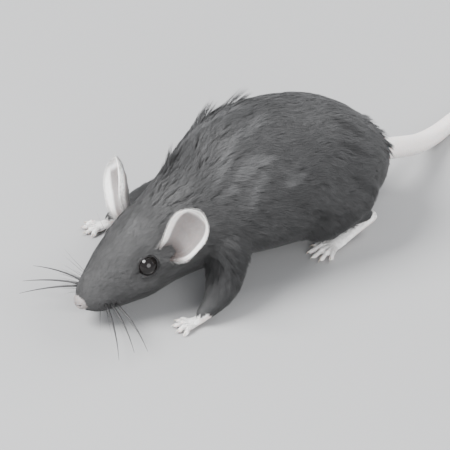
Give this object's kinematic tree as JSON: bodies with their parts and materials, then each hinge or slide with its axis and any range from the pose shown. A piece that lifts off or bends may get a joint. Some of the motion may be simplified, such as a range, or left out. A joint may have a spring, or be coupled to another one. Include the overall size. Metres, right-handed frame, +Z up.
{
  "type": "house mouse",
  "caption": "Still, life-size grey mouse standing with its head low, with round ears, pale feet and a long thin tail laid in a gentle S on the floor.",
  "frame": {"origin": "on the floor, under the middle of the box round the whole mouse, tail included", "axes": "-Y is the way the mouse faces, +X its left, +Z up; +Y runs along its length to the tail tip"},
  "size_m": [0.0531, 0.1761, 0.0429],
  "materials": {
    "coat": "short soft grey fur",
    "ear_skin": "thin, nearly bare, pale greyish pink skin",
    "nose_skin": "bare moist greyish pink skin",
    "foot_skin": "pale skin with very short white hair",
    "tail_skin": "pale skin with fine rings of scales",
    "eye": "wet, glossy, black-brown"
  },
  "bodies": {
    "root": {"nose": "nose_skin", "head": "coat", "neck": "coat", "trunk": "coat", "ear_left": "ear_skin", "ear_right": "ear_skin", "eye_left": "eye", "eye_right": "eye", "foreleg_left": "coat", "foreleg_right": "coat", "forepaw_left": "foot_skin", "forepaw_right": "foot_skin", "hindleg_left": "coat", "hindleg_right": "coat", "hindfoot_left": "foot_skin", "hindfoot_right": "foot_skin", "tail_1": "tail_skin", "tail_2": "tail_skin", "tail_3": "tail_skin", "tail_4": "tail_skin"}
  },
  "joints": []
}
